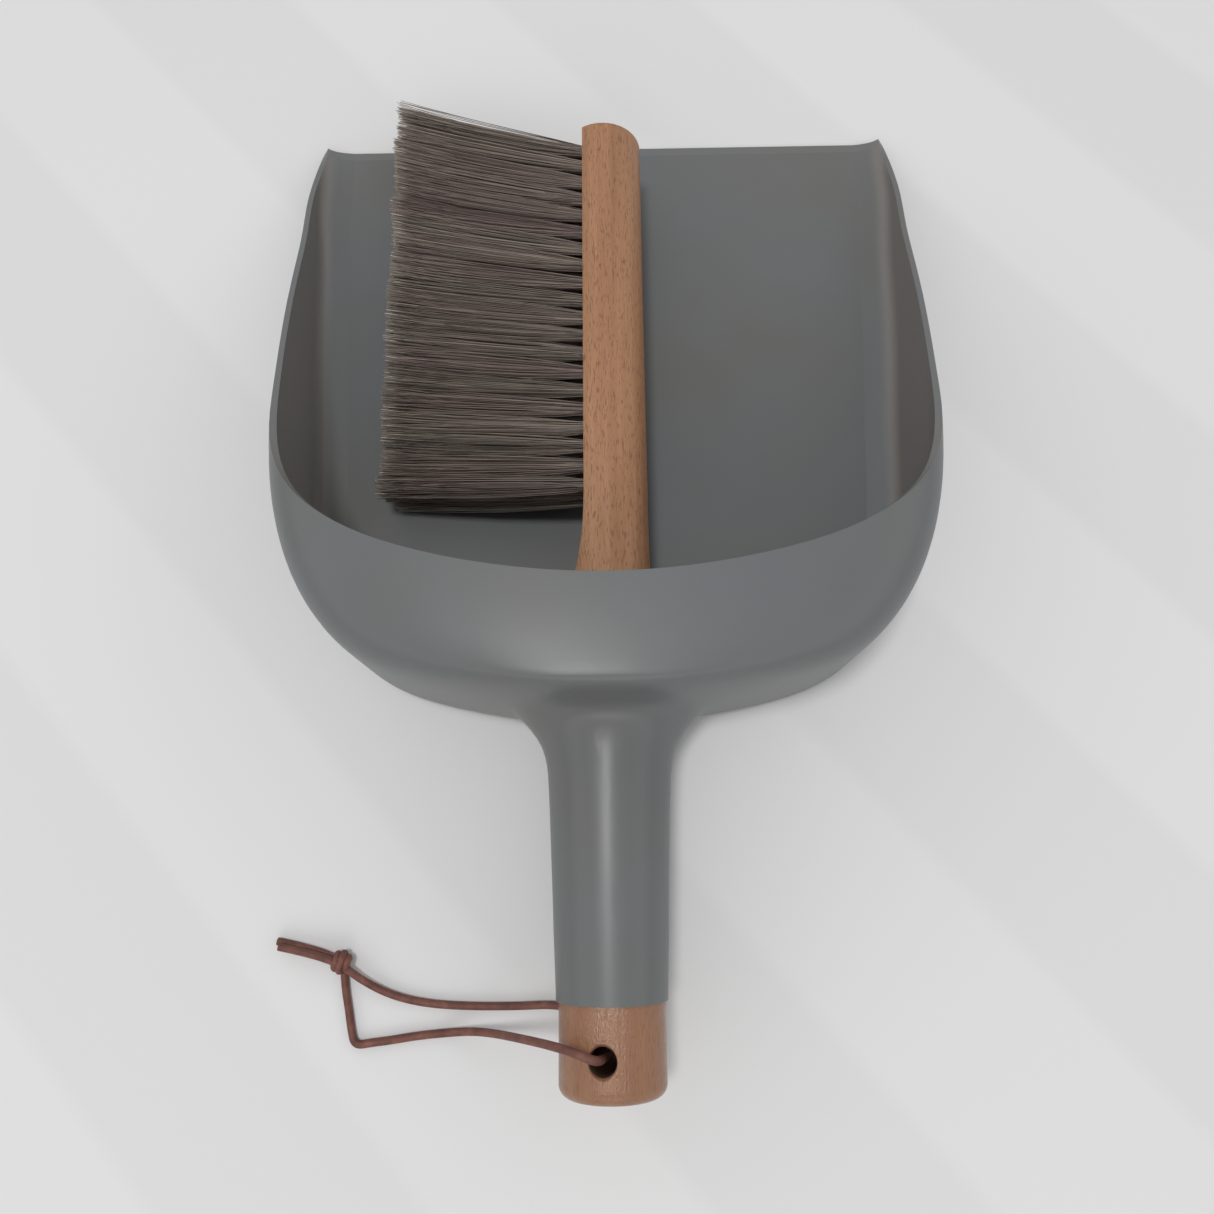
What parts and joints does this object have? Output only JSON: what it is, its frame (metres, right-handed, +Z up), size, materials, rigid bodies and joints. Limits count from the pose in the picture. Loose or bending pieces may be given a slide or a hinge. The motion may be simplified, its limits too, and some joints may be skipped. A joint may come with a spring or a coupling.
{
  "type": "dustpan and brush set",
  "caption": "Funnel-shaped dustpan whose hollow handle holds a wooden hand brush, with a knotted leather hanging cord.",
  "frame": {"origin": "on the flat base, under the axis of the handle and brush, near the middle of the scoop's floor", "axes": "+Y from the handle towards the scoop's front lip, +X to the right seen from the handle, +Z up"},
  "size_m": [0.2194, 0.335, 0.0669],
  "materials": {
    "grey_plastic": "satin, fine moulded texture",
    "beech": "oiled, short dark flecks along the handle",
    "bristles": "fine translucent taupe filaments with pale tips",
    "steel_wire": "flat drawn wire, hidden in the wood",
    "leather": "reddish-brown, matte, lightly grained"
  },
  "bodies": {
    "pan": {"dustpan": "grey_plastic"},
    "brush": {"brush_stock": "beech", "tufts_upper_row": "bristles", "tufts_middle_row": "bristles", "tufts_lower_row": "bristles", "staples_upper_row": "steel_wire", "staples_middle_row": "steel_wire", "staples_lower_row": "steel_wire", "cord_upper_half": "leather", "cord_lower_half": "leather", "cord_knot": "leather"}
  },
  "joints": [
    {"name": "brush_slide", "type": "slide", "parent": "pan", "child": "brush", "axis": [0, 1, 0], "range_m": [0, 0.345], "deforming": ["cord_upper_half", "cord_lower_half", "cord_knot"]}
  ]
}
